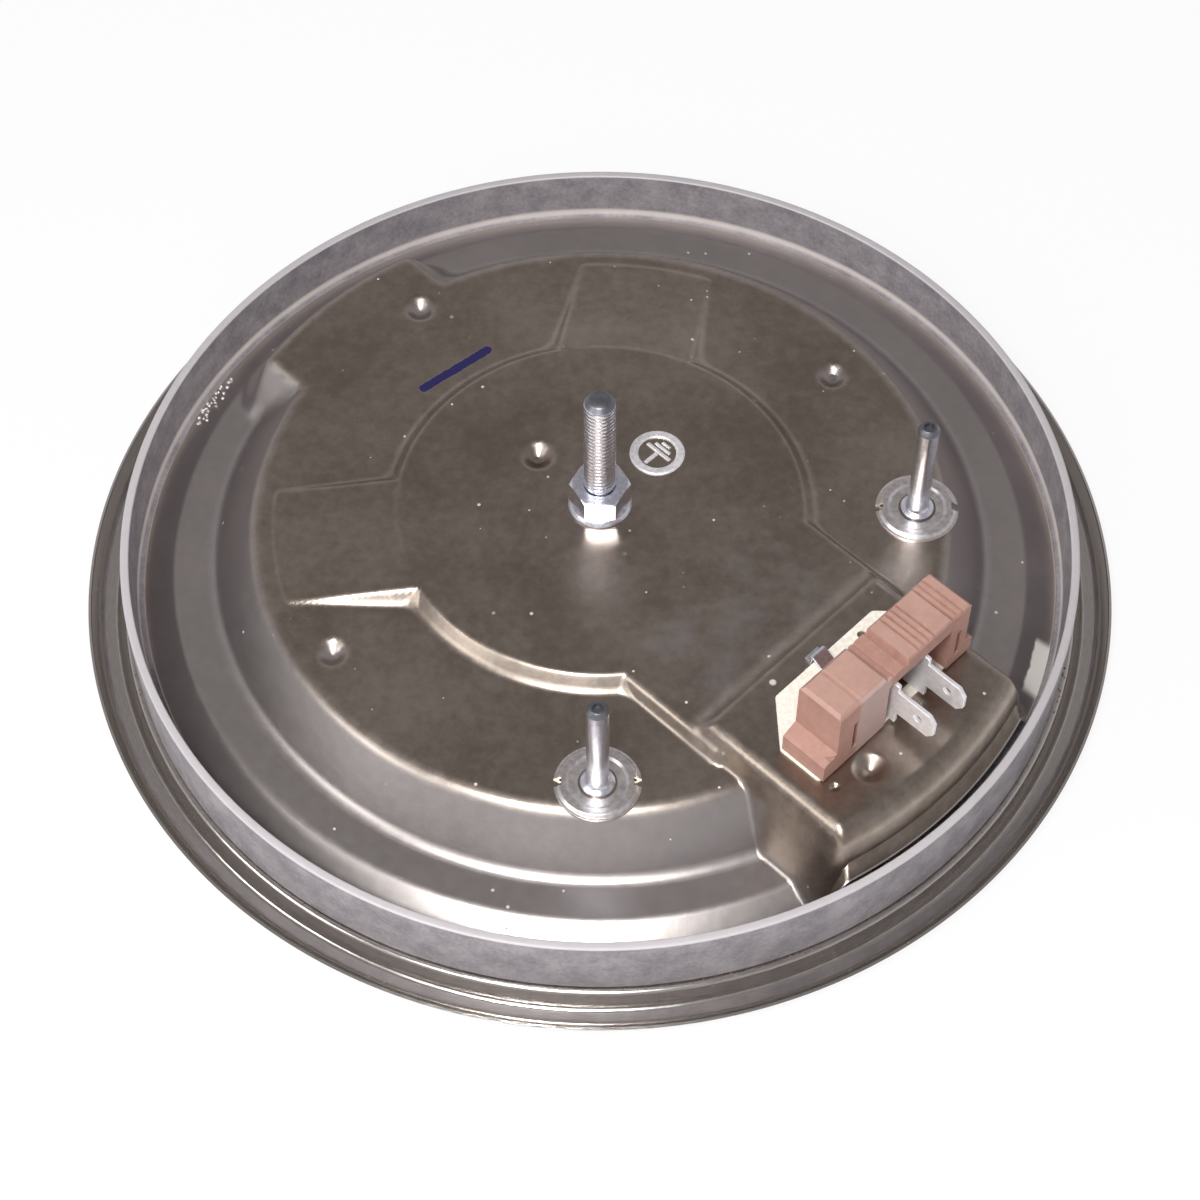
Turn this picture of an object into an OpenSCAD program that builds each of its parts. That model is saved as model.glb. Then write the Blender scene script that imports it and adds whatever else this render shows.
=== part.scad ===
/* [Cast plate] */
// radius of the ring wall, outside
wall_r = 90; // [70:0.5:110]
// thickness of the ring wall at its free edge
wall_t = 1.6; // [1:0.1:4]
// height of the ring wall above the cooking face
wall_top = 19.4; // [14:0.1:26]
// height of the ledge at the foot of the ring wall
ledge_z = 8.3; // [6:0.1:10]
// height of the ribs between the coil grooves
rib_z = 11.2; // [9:0.1:11.6]
// thickness of the ribs between the coil grooves
rib_t = 2.6; // [2:0.1:3.5]
// floor of the coil groove
groove_z = 4.2; // [3:0.1:6]
// radius of the unheated recess in the cooking face
recess_r = 20; // [12:0.5:24]
// depth of the unheated recess
recess_d = 0.8; // [0.3:0.1:1.5]

/* [Overflow rim] */
// reach of the rim beyond the ring wall
rim_w = 8; // [6:0.1:12]
// height of the rim's outer edge above the cooking face
rim_edge_z = 5; // [3:0.1:8]
// height of the bottom of the rim's trough
rim_low_z = 1.7; // [1:0.1:3]
// sheet of the rim
rim_t = 0.5; // [0.3:0.05:1]

/* [Cover] */
// sheet of the cover
sheet_t = 0.6; // [0.4:0.05:1]
// gap between the cover's cut edge and the ring wall
edge_gap = 1.6; // [0.5:0.1:4]
// width of the sloping lip outside the shelf
lip_w = 6.3; // [4:0.1:9]
// height of the shelf near the edge
shelf_z = 12.5; // [12:0.1:14]
// width of the shelf
shelf_w = 7.4; // [5:0.1:10]
// height of the three sectors
floor_z = 23; // [20:0.1:25]
// slope of the wall between shelf and sectors
wall_slope = 51; // [45:1:60]
// height of the centre disc and the arms
disc_z = 25.6; // [24:0.1:28]
// radius of the centre disc at its upper bend
disc_r = 38; // [30:0.1:42]
// height of the terminal pocket
pocket_z = 28.2; // [26:0.1:31]
// half width of the terminal pocket at its upper bend
pocket_w = 22.4; // [18:0.1:24]
// distance from the disc's upper bend to the inner step of the pocket
pocket_gap = 8.4; // [5:0.1:12]
// half width of the lobe opposite the pocket
lobe_w = 18.2; // [14:0.1:24]
// half width of the wide arm in front of the pocket
arm_w = 24; // [18:0.1:26]
// half width of the two narrow arms
thin_arm_w = 12.6; // [9:0.1:15]
// direction of the terminal pocket, from +X
axis_az = -44.5; // [-90:0.5:0]

/* [Stud, nut and pins] */
// diameter of the centre stud
stud_d = 5.9; // [4.9:0.1:8]
// height of the stud's end above the cooking face
stud_top = 56.3; // [45:0.1:70]
// width across flats of the nut
nut_af = 10; // [8:0.1:13]
// height of the nut
nut_h = 5.1; // [3:0.1:7]
// height of the washer
washer_h = 1.1; // [0.8:0.1:2]
// diameter of the locating pins
pin_d = 4; // [3:0.1:6]
// height of the pins' ends above the cooking face
pin_top = 47.9; // [35:0.1:55]
// distance from the sectors' outer bend in to the pins
pin_inset = 5.3; // [3:0.1:12]
// diameter of the pressed ring round each pin
ring_d = 15.5; // [12:0.1:18]

/* [Terminal block] */
// depth of the block
block_d = 9.6; // [8:0.1:12]
// distance from the cover's edge in to the block's outer face
block_inset = 15.7; // [12:0.1:18]
// top of the block above the pocket
block_h = 17; // [13:0.1:22]
// reach of the block's near foot from the terminal axis
foot_near = 17.4; // [16.5:0.1:20]
// reach of the block's far foot from the terminal axis
foot_far = 21.8; // [21:0.1:23]
// width of a blade tab
tab_w = 6.3; // [4.8:0.1:6.3]
// thickness of a blade tab
tab_t = 0.8; // [0.5:0.1:1]
// reach of the tabs beyond the block
tab_l = 9.2; // [7:0.1:12]
// insulating sheet under the block
gasket_t = 0.5; // [0.3:0.1:1]
// reach of the insulating sheet from the block towards the disc
gasket_l = 8.1; // [5:0.1:10]
// width of the retaining clip
clip_w = 3.4; // [2:0.1:6]

/* [Inside] */
// diameter of the rods on the coils' ends
rod_d = 2.6; // [2:0.1:3]
// height of the bushes round the rods
bush_h = 5; // [4:0.1:6]
// length of the thermal cut-out
cutout_l = 20; // [16:0.5:24]
// width of the thermal cut-out
cutout_w = 10; // [8:0.5:11]
// height of the thermal cut-out's base
cutout_h = 6; // [4.5:0.5:7]
// width of the lead strips
lead_w = 4; // [3:0.1:4.4]
// thickness of the lead strips
lead_t = 0.5; // [0.3:0.1:0.8]

/* [Hidden] */
$fn = 96;
cover_r = wall_r - wall_t - edge_gap;
shelf_r = cover_r - lip_w;
foot_r = shelf_r - shelf_w;
floor_r = foot_r - (floor_z - shelf_z) / tan(wall_slope);
pin_r = floor_r - pin_inset;
rim_r = wall_r + rim_w;
pocket_v = disc_r + pocket_gap;
groove_r0 = recess_r + 6;
groove_pitch = (foot_r - 3.4 - groove_r0 + rib_t / 2) / 4.5;
groove_w = groove_pitch - rib_t;
coil_w = groove_w - 3;
coil_z0 = groove_z + 0.8;
coil_z1 = coil_z0 + coil_w;
nut_z = disc_z + washer_h;
thread_r = stud_d / 2 - 0.25;
gasket_top = pocket_z + gasket_t;
block_v1 = cover_r - block_inset;
block_v0 = block_v1 - block_d;
block_top = pocket_z + block_h;
slot_v = block_v0 + 2.4;
slot_l = 4.4;
rod_a = 6;
bush_top = rib_z + bush_h;
cutout_v = groove_r0 + 6;
cutout_top = rib_z + cutout_h + 0.5;
turn_n = 32;
tab_u = [0.5, 8.4];

// points of an arc that rounds the corner b between a and c
function bend(a, b, c, r, n = 4) =
    let(p = (a - b) / norm(a - b), q = (c - b) / norm(c - b),
        h = acos(max(-1, min(1, p * q))) / 2,
        d = r / tan(h),
        m = b + (p + q) / norm(p + q) * (r / sin(h)),
        s = b + p * d - m,
        e = b + q * d - m,
        t = 180 - 2 * h,
        w = (s[0] * e[1] - s[1] * e[0]) > 0 ? 1 : -1)
    [for (i = [0 : n]) let(k = w * t * i / n)
        m + [s[0] * cos(k) - s[1] * sin(k), s[0] * sin(k) + s[1] * cos(k)]];

// a line of points thickened to both sides
function side(p, t) = [for (i = [0 : len(p) - 1])
    let(a = p[max(0, i - 1)], b = p[min(len(p) - 1, i + 1)], d = (b - a) / norm(b - a))
    p[i] + [-d[1], d[0]] * t / 2];
function flip(p) = [for (i = [len(p) - 1 : -1 : 0]) p[i]];
function band(p, t) = concat(side(p, t), flip(side(p, -t)));

// spiral of the coil groove, by turns from its inner end
function spiral(k, off = 0) = let(r = groove_r0 + groove_pitch * k + off, f = rod_a + 360 * k)
    [r * cos(f), r * sin(f)];
module spiral_band(k0, k1, w) {
    n = ceil((k1 - k0) * turn_n);
    polygon(concat([for (i = [0 : n]) spiral(k0 + (k1 - k0) * i / n, w / 2)],
                   [for (i = [n : -1 : 0]) spiral(k0 + (k1 - k0) * i / n, -w / 2)]));
}
module at_axis() rotate([0, 0, axis_az]) children();
module at_turn(k) at_axis() translate([spiral(k)[0], spiral(k)[1], 0]) rotate([0, 0, rod_a]) children();

// ---- cast plate and rim
module plate_casting() {
    wall = concat(
        [[0, recess_d], [recess_r - 0.6, recess_d], [recess_r, 0], [wall_r - 2.4, 0]],
        [[wall_r - 0.5, 1.6], [wall_r - 0.5, rim_edge_z - 0.75], [wall_r - 1, rim_edge_z - 0.55]],
        [[wall_r - 1, rim_edge_z + 0.35], [wall_r, rim_edge_z + 0.6]],
        [[wall_r, wall_top - 0.4], [wall_r - 0.4, wall_top], [wall_r - wall_t + 0.3, wall_top],
         [wall_r - wall_t, wall_top - 0.3]],
        bend([wall_r - wall_t, wall_top], [wall_r - wall_t - 0.5, ledge_z], [shelf_r, ledge_z], 1.4),
        [[foot_r + 1.9, ledge_z], [foot_r, rib_z], [groove_r0 - 6, rib_z]],
        [[groove_r0 - 8, rib_z - 1.8], [9.4, rib_z - 1.8], [8.2, 14]],
        [[6.4, disc_z - sheet_t], [0, disc_z - sheet_t]]);
    color("#34302e") difference() {
        rotate_extrude() polygon(wall);
        at_axis() translate([0, 0, groove_z]) linear_extrude(20) spiral_band(-0.06, 4.06, groove_w);
        translate([0, 0, 10]) cylinder(r = thread_r, h = 20, $fn = 48);
    }
}

module overflow_rim() {
    in = wall_r + 0.7;
    mid = wall_r + rim_w / 2;
    p = concat([[wall_r - 0.95, rim_edge_z - 0.1]],
        bend([wall_r - 1, rim_edge_z - 0.1], [in, rim_edge_z - 0.1], [in + 1.7, rim_low_z], 0.8, 3),
        bend([in, rim_edge_z], [in + 1.8, rim_low_z], [mid, rim_low_z], 1.4, 4),
        bend([mid, rim_low_z], [rim_r - 2, rim_low_z + 0.2], [rim_r - 0.3, rim_edge_z], 2.4, 5),
        [[rim_r - rim_t / 2, rim_edge_z]]);
    color("#b9b6b4") rotate_extrude($fn = 128) polygon(band(p, rim_t));
}

// ---- pressed cover: the solid under its upper face, less the same solid set in by one sheet
function foot(w, z, top, slope) = w + (top - z) / tan(slope);
module prism(w, top, low, slope, r, len) {
    b = foot(w, low, top, slope);
    rotate([90, 0, 90]) linear_extrude(len) polygon(concat(
        [[-b, low]], bend([-b, low], [-w, top], [0, top], r), bend([0, top], [w, top], [b, low], r),
        [[b, low]]));
}
module dish(k) {
    s = k * sheet_t;
    c = k * 0.3;
    run = foot_r - floor_r;
    edge = [cover_r, ledge_z + sheet_t];
    translate([0, 0, -s]) rotate_extrude($fn = 128) polygon(concat(
        [[0, 0], [0, floor_z]],
        bend([0, floor_z], [floor_r - c, floor_z], [floor_r + run - c, shelf_z], 4),
        bend([floor_r - c, floor_z], [floor_r + run - c, shelf_z], [shelf_r, shelf_z], 3.4),
        bend([floor_r + run, shelf_z], [shelf_r - c / 2, shelf_z], edge, 3),
        [edge + k * [3, -1.7], [cover_r + k * 3, 0]]));
}
module centre_disc(k) {
    c = k * 0.2;
    low = floor_z - 0.2;
    translate([0, 0, -k * sheet_t]) rotate_extrude() polygon(concat(
        [[0, shelf_z], [0, disc_z]],
        bend([0, disc_z], [disc_r - c, disc_z], [disc_r + 3 - c, floor_z - 0.4], 1.6),
        bend([disc_r - c, disc_z], [disc_r + 2.75 - c, low], [disc_r + 6 - c, low], 1.2, 3),
        [[disc_r + 3.6 - c, shelf_z]]));
}
// an arm that leaves the disc at this angle and sinks into the sector floor
module arm(k, at, dir, w) {
    len = floor_r - 0.9 - disc_r;
    rotate([0, 0, at]) translate([disc_r - 1.2, 0, -k * sheet_t]) rotate([0, 0, dir - at])
        translate([0, 0, disc_z - 0.1]) rotate([0, atan((disc_z - floor_z) / len), 0])
            prism(w - k * 0.2, 0, -2.9, 47, 1.8, len);
}
module wide_arm(k) {
    at_axis() translate([disc_r / 2, 0, -k * sheet_t])
        prism(arm_w - k * 0.25, disc_z, shelf_z, 60, 1.8, pocket_v + 14 - disc_r / 2);
}
module pocket(k) {
    s = k * sheet_t;
    c = k * 0.6;
    low = shelf_z - 1.5;
    b = pocket_w + 6.5;
    intersection() {
        at_axis() translate([pocket_v - 0.6, 0, -s]) rotate([90, 0, 90])
            linear_extrude(cover_r - pocket_v + 20) polygon(concat(
                [[c - b, low]],
                bend([c - b, low], [-pocket_w + c, pocket_z], [0, pocket_z], 2.6),
                bend([0, pocket_z], [pocket_w - c, pocket_z], [b - c, low], 2.6),
                [[b - c, low]]));
        at_axis() translate([0, 50, -s]) rotate([90, 0, 0]) linear_extrude(100) polygon(concat(
            [[pocket_v - 0.6, 0], [pocket_v - 0.6, disc_z - 0.3]],
            bend([pocket_v - 0.6, disc_z - 0.3], [pocket_v + 2.6 + k * 0.2, pocket_z],
                [pocket_v + 20, pocket_z], 1.8),
            [[cover_r + 12, pocket_z], [cover_r + 12, 0]]));
        rotate_extrude($fn = 128) polygon(concat(
            [[20, 0], [20, pocket_z - s]],
            bend([20, pocket_z - s], [cover_r - 2.4 - c, pocket_z - s], [cover_r - 0.4 - c, low], 4.4, 5),
            [[cover_r - 0.4 - c, low], [cover_r - 0.4 - c, 0]]));
        at_axis() translate([0, 0, -1]) linear_extrude(40) polygon(concat(
            [[disc_r, -40], [cover_r - 16.8, -40]],
            bend([pocket_v + 13, c - pocket_w - 7], [cover_r - 6.4 - c, c - pocket_w - 4.2],
                [cover_r + 5, 0], 3.6),
            [[cover_r + 9, 0]],
            bend([cover_r + 5, 0], [cover_r - 6.4 - c, pocket_w + 4.2 - c],
                [pocket_v + 13, pocket_w + 7 - c], 3.6),
            [[cover_r - 16.8, 40], [disc_r, 40]]));
    }
}
module lobe(k) {
    s = k * sheet_t;
    c = k * 0.3;
    intersection() {
        rotate([0, 0, 180 + axis_az]) translate([30, 0, -s])
            prism(lobe_w - c, floor_z, shelf_z - 1, 53, 3, 60);
        rotate_extrude($fn = 128) polygon(concat(
            [[20, 0], [20, floor_z - s]],
            bend([20, floor_z - s], [floor_r + 10 - c, floor_z - s], [shelf_r - 0.3 - c, shelf_z - 1], 3.2),
            [[shelf_r - 0.3 - c, shelf_z - 1], [shelf_r - 0.3 - c, 0]]));
    }
}
// dent with its middle pressed down by d
module dent(at, turn, z, r, d, k) {
    s = k * sheet_t;
    rotate([0, 0, turn]) translate([at, 0, z - s]) rotate_extrude($fn = 24) polygon([[0, -d],
        [r * 0.4, -d * 0.8],
        [r * 0.75, -d * 0.35], [r + k * 0.25, 0], [r + k * 0.25, 2], [0, 2]]);
}
module cover_form(k) {
    difference() {
        union() {
            dish(k);
            centre_disc(k);
            arm(k, 82.5, 79, thin_arm_w);
            arm(k, 190.5, 183.5, thin_arm_w);
            wide_arm(k);
            pocket(k);
            lobe(k);
        }
        dent(disc_r - 21.7, 136, disc_z, 3.6, 1.1, k);
        dent(floor_r - 3.4, 125.5, floor_z, 3.2, 1, k);
        dent(floor_r - 8.9, 36.1, floor_z, 3.2, 1, k);
        dent(floor_r - 6.8, -146.9, floor_z, 3.2, 1, k);
        dent(cover_r - 11.3, -51.6, pocket_z, 3.1, 1, k);
    }
}
module bottom_cover() {
    color("#6b6058") difference() {
        cover_form(0);
        cover_form(1);
        translate([0, 0, -1]) cylinder(r = 120, h = ledge_z + 1);
        cylinder(d = stud_d + 0.6, h = 40, $fn = 48);
        for (a = [0.5, -90.4]) rotate([0, 0, a]) translate([pin_r, 0, 15])
            cylinder(d = pin_d - 0.8, h = 12, $fn = 32);
        at_axis() translate([slot_v, -1.5, floor_z - 3]) cube([slot_l, 12.5, 12]);
    }
}

// ---- fixings
module centre_stud() {
    z = nut_z + nut_h;
    color("#c9cad0") rotate_extrude($fn = 48) polygon([[0, 14], [thread_r - 0.8, 14],
        [thread_r, 14.8], [thread_r, z + 0.2], [stud_d / 2, z + 0.5], [stud_d / 2, stud_top - 1.2],
        [stud_d / 2 - 1, stud_top], [0, stud_top]]);
}
module centre_washer() {
    r = nut_af / 2 + 1;
    color("#c9cad0") translate([0, 0, disc_z]) rotate_extrude($fn = 48) polygon([[stud_d / 2 + 0.2, 0],
        [r - 0.1, 0], [r, 0.3], [r - 0.6, washer_h], [stud_d / 2 + 0.2, washer_h]]);
}
module centre_nut() {
    color("#c9cad0") translate([0, 0, nut_z]) difference() {
        intersection() {
            cylinder(d = nut_af / cos(30), h = nut_h, $fn = 6);
            rotate_extrude($fn = 48) polygon([[0, 0], [nut_af / 2 + 0.1, 0], [nut_af / 2 + 1, 0.5],
                [nut_af / 2 + 1, nut_h - 0.5], [nut_af / 2 + 0.1, nut_h], [0, nut_h]]);
        }
        translate([0, 0, -1]) cylinder(r = thread_r, h = nut_h + 2, $fn = 48);
    }
}
module pin(a) {
    r = pin_d / 2;
    color("#c9cad0") rotate([0, 0, a]) translate([pin_r, 0, 0]) rotate_extrude($fn = 32) polygon([
        [0, floor_z - sheet_t - 1.2], [3.2, floor_z - sheet_t - 1.2], [3.2, floor_z - sheet_t],
        [r - 0.4, floor_z - sheet_t], [r - 0.4, floor_z], [3.1, floor_z], [3.1, floor_z + 1],
        [r + 0.3, floor_z + 1.5],
        [r, floor_z + 2], [r, pin_top - 1], [r - 0.8, pin_top], [0, pin_top]]);
}
module pin_near() pin(-90.4);
module pin_right() pin(0.5);
// pressed ring round a pin, with two notches in its flange
module pin_ring(a) {
    color("#b5b1ae") rotate([0, 0, a]) translate([pin_r, 0, floor_z]) rotate([0, 0, -a]) difference() {
        rotate_extrude($fn = 48) polygon([[3.5, 0], [5.2, 0], [5.7, 0.5], [6.6, 0.5], [7.1, 0],
            [ring_d / 2, 0], [ring_d / 2, 0.4], [7.3, 0.45], [6.8, 1], [5.5, 1], [5, 0.5], [3.5, 0.5]]);
        for (s = [-1, 1]) translate([s * 7.2, 0, 0]) cube([1.6, 1.6, 3], center = true);
    }
}
module pin_ring_near() pin_ring(-90.4);
module pin_ring_right() pin_ring(0.5);

// ---- terminal block, sheet, tabs and clip
module block_outline() {
    t = block_top;
    polygon([[-foot_near, gasket_top], [foot_far, gasket_top], [foot_far, gasket_top + 3.4],
        [19.8, gasket_top + 4.4],
        [19.8, t - 1.2], [19.2, t - 0.6], [17.8, t - 0.6], [17.5, t - 1], [17.2, t - 0.6], [16.5, t - 0.6],
        [16.2, t - 1], [15.9, t - 0.6], [15.2, t - 0.6], [14.9, t - 1.2], [14.4, t - 0.4], [9.7, t - 0.4],
        [9.3, t - 1], [8.9, t - 0.4], [8.2, t - 0.4], [7.8, t - 1], [7.4, t - 0.4], [6.3, t - 0.4],
        [5.9, t - 1], [5.5, t - 0.4], [3.2, t - 0.4], [2.9, t - 2], [2.4, t - 2], [2.1, t - 1.4],
        [-0.2, t - 1.4], [-0.6, t - 1.9], [-1, t - 1.4], [-1.6, t - 1.4], [-2, t - 1.9], [-2.4, t - 1.2],
        [-2.7, t - 0.2], [-3.2, t], [-8.7, t], [-9, t - 0.3], [-9.3, t - 0.3], [-9.6, t], [-13.6, t],
        [-14.3, t - 0.7], [-14.3, gasket_top + 5.6], [-foot_near, gasket_top + 4.2]]);
}
module terminal_block() {
    g = gasket_top;
    color("#8f6a5e") at_axis() difference() {
        translate([block_v0, 0, 0]) rotate([90, 0, 90]) linear_extrude(block_d) block_outline();
        // room for the tab roots, open to the outside
        translate([block_v1 - 4.2, -1.4, g - 1]) cube([10, 16.6, 13]);
        // passage for the leads
        translate([slot_v, -1.4, g - 1]) cube([6, 12.3, 6]);
        // slots in the outer face
        translate([block_v1 - 1.6, -10.3, g + 2.4]) cube([4, 1.3, 8]);
        translate([block_v1 - 1.6, 17, g + 2.4]) cube([4, 1.2, 7]);
        // upper outer edge
        translate([block_v1 + 0.001, 0, block_top + 0.001]) rotate([0, 45, 0])
            cube([1.2, 60, 1.2], center = true);
        translate([block_v0 - 0.001, 0, block_top + 0.001]) rotate([0, 45, 0])
            cube([1.2, 60, 1.2], center = true);
        // outer corner of the higher end
        translate([block_v1, -14.3, 0]) rotate([0, 0, 45]) cube([2, 2, 120], center = true);
    }
}
module tab(u) {
    v0 = block_v1 - 3.9;
    z0 = gasket_top;
    m = gasket_top + 6.7;
    h = tab_w / 2;
    tab_v = block_v1 + tab_l;
    color("#b9b8bd") at_axis() translate([0, u + tab_t / 2, 0]) rotate([90, 0, 0]) linear_extrude(tab_t)
        difference() {
            polygon([[v0, z0 + 0.4], [block_v1 + 0.9, z0 + 0.4], [block_v1 + 0.9, m - h],
                [tab_v - 1.3, m - h],
                [tab_v, m - h + 1.6], [tab_v, m + h - 1.6], [tab_v - 1.3, m + h], [block_v1 + 0.9, m + h],
                [block_v1 + 0.9, m + h + 1.6], [block_v1, z0 + 11.6], [v0, z0 + 11.6]]);
            translate([tab_v - 3.6, m]) circle(d = 1.8, $fn = 24);
        }
}
module tab_near() tab(tab_u[0]);
module tab_far() tab(tab_u[1]);
module block_gasket() {
    v = block_v0 - gasket_l;
    a = foot_near + 0.4;
    b = foot_far + 1.2;
    color("#e6e0cc") at_axis() translate([0, 0, pocket_z]) linear_extrude(gasket_t) difference() {
        polygon([[v, 7.6 - a], [v, b - 7.5], [block_v0, b], [block_v1 - 0.5, b], [block_v1 - 0.5, -a],
            [block_v0, -a]]);
        translate([v + 2.2, b - 12.6]) circle(d = 1.8, $fn = 24);
        translate([slot_v, -1.5]) square([slot_l, 12.5]);
    }
}
module retaining_clip() {
    z = gasket_top;
    v = block_v0 - gasket_l - 0.2;
    color("#cfc79a") at_axis() translate([0, 1.2 + clip_w / 2, 0]) rotate([90, 0, 0])
        linear_extrude(clip_w) polygon([
        [v - 1.6, pocket_z], [v, pocket_z], [v, z + 1.1], [v + 2.2, z], [v + 4, z], [v + 4, z + 0.4],
        [v + 2.4, z + 0.4], [v + 0.1, z + 1.7], [v - 0.5, z + 1.5], [v - 0.5, pocket_z + 0.5],
        [v - 1.6, pocket_z + 0.5]]);
}

// ---- inside: coils, compound, rods, bushes, cut-out and leads
module coil(k0, k1) {
    color("#7d7468") at_axis() translate([0, 0, coil_z0]) linear_extrude(coil_z1 - coil_z0)
        spiral_band(k0, k1, coil_w);
}
module coil_inner() coil(0, 1.97);
module coil_outer() coil(2.03, 4);
module rod(k, foot) {
    color("#a8a29a") at_turn(k) {
        translate([0, 0, coil_z1]) cylinder(d = rod_d, h = bush_top + 3.8 - coil_z1, $fn = 32);
        if (foot) translate([-rod_d / 2, -4, coil_z1]) cube([rod_d, 8, 0.8]);
    }
}
module coil_pin_inner() rod(0.02, false);
module coil_pin_common() rod(2, true);
module coil_pin_outer() rod(3.98, false);
module embedding_mass() {
    color("#d5cfbf") difference() {
        at_axis() translate([0, 0, groove_z]) linear_extrude(rib_z - groove_z)
            spiral_band(-0.06, 4.06, groove_w);
        coil_inner();
        coil_outer();
        rod(0.02, false);
        rod(2, true);
        rod(3.98, false);
    }
}
module bush(k) {
    color("#e9e4d8") at_turn(k) translate([0, 0, rib_z]) rotate_extrude($fn = 32) polygon([
        [rod_d / 2, 0], [3.4, 0], [3.4, 1.6], [2.6, 2.2], [2.6, bush_h], [rod_d / 2, bush_h]]);
}
module bush_inner() bush(0.02);
module bush_common() bush(2);
module bush_outer() bush(3.98);
module protector_base() {
    color("#e9e4d8") at_axis() translate([cutout_v, -3 - cutout_w, rib_z]) difference() {
        cube([cutout_l, cutout_w, cutout_h]);
        translate([3, 2.5, cutout_h - 2.5]) cube([cutout_l - 6, cutout_w - 5, 5]);
    }
}
module protector_strip() {
    z = rib_z + cutout_h;
    v = cutout_v;
    e = cutout_v + cutout_l;
    w = cutout_w - 5.8;
    color("#b59a62") at_axis() translate([0, (w - cutout_w) / 2 - 3, 0]) rotate([90, 0, 0])
        linear_extrude(w) polygon([
        [v - 0.2, z], [v + 2.8, z], [v + cutout_l / 2, z + 0.5], [e - 2.8, z], [e + 0.4, z],
        [e + 0.4, z + 0.5],
        [e - 2.8, z + 0.5], [v + cutout_l / 2, z + 1], [v + 2.8, z + 0.5], [v - 0.2, z + 0.5]]);
}
module leads(list) {
    color("#c2bfb6") at_axis() for (b = list) translate(b[0]) cube(b[1]);
}
module lead_common() {
    p = spiral(2);
    v = slot_v + 0.3;
    l = slot_l - 0.6;
    u = tab_u[1] + tab_t / 2;
    difference() {
        leads([[[p[0] - 2.2, p[1] - lead_w / 2, bush_top], [v + l - p[0] + 2.2, lead_w, lead_t]],
               [[v, p[1] - lead_w / 2, bush_top], [l, u + lead_t - p[1] + lead_w / 2, lead_t]],
               [[v, u, bush_top], [l, lead_t, gasket_top + 2.8 - bush_top]]]);
        rod(2, true);
    }
}
module lead_outer() {
    p = spiral(3.98);
    v = slot_v + 0.3;
    l = slot_l - 0.6;
    u = tab_u[0] - tab_t / 2;
    difference() {
        leads([[[v - 0.6, p[1] - lead_w / 2, bush_top], [l + 0.6, u - p[1] + lead_w / 2, lead_t]],
               [[v, u - lead_t, bush_top], [l, lead_t, gasket_top + 2.8 - bush_top]]]);
        rod(3.98, false);
    }
}
module lead_inner() {
    p = spiral(0.02);
    u = -2 - cutout_w;
    v = cutout_v - 1;
    difference() {
        leads([[[p[0] - 2, u, bush_top], [lead_w, p[1] + 2 - u, lead_t]],
               [[p[0] - 2, u, bush_top], [v + lead_t - p[0] + 2, lead_w, lead_t]],
               [[v, u, bush_top], [lead_t, lead_w, cutout_top + lead_t - bush_top]],
               [[v, u, cutout_top], [3.8, lead_w, lead_t]]]);
        rod(0.02, false);
    }
}
module lead_protector() {
    u = -2 - cutout_w;
    e = cutout_v + cutout_l - 2.6;
    v = slot_v - 0.1;
    w = spiral(3.98)[1] - lead_w / 2;
    leads([[[e, u, cutout_top], [v + lead_w - e, lead_w, lead_t]],
           [[v, u, cutout_top], [lead_w, w + lead_t - u, lead_t]],
           [[v, w, bush_top + lead_t], [lead_w, lead_t, cutout_top - bush_top]]]);
}

plate_casting();
overflow_rim();
bottom_cover();
centre_stud();
centre_nut();
centre_washer();
pin_near();
pin_right();
pin_ring_near();
pin_ring_right();
terminal_block();
tab_near();
tab_far();
block_gasket();
retaining_clip();
coil_inner();
coil_outer();
embedding_mass();
coil_pin_inner();
coil_pin_common();
coil_pin_outer();
bush_inner();
bush_common();
bush_outer();
protector_base();
protector_strip();
lead_common();
lead_outer();
lead_inner();
lead_protector();
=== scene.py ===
import math

import bmesh
import bpy
import numpy as np
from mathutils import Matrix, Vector

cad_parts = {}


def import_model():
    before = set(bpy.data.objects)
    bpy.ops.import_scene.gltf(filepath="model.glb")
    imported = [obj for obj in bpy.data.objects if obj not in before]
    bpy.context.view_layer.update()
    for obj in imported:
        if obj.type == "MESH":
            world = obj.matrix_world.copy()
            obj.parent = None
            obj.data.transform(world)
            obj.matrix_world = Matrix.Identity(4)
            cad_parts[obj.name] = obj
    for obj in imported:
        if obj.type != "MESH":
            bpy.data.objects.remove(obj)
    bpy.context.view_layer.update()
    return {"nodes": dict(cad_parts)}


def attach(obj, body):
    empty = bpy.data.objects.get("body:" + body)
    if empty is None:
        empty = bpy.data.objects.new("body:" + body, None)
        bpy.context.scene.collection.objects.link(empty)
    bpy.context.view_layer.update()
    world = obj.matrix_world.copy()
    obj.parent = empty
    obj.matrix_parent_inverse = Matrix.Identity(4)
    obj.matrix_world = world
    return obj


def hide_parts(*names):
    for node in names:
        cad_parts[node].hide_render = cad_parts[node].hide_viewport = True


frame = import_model()
MM = 0.001
AXIS = math.radians(-44.5)
# directions along the terminal axis and across it
V_DIR = np.array([math.cos(AXIS), math.sin(AXIS)])
U_DIR = np.array([-math.sin(AXIS), math.cos(AXIS)])


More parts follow.
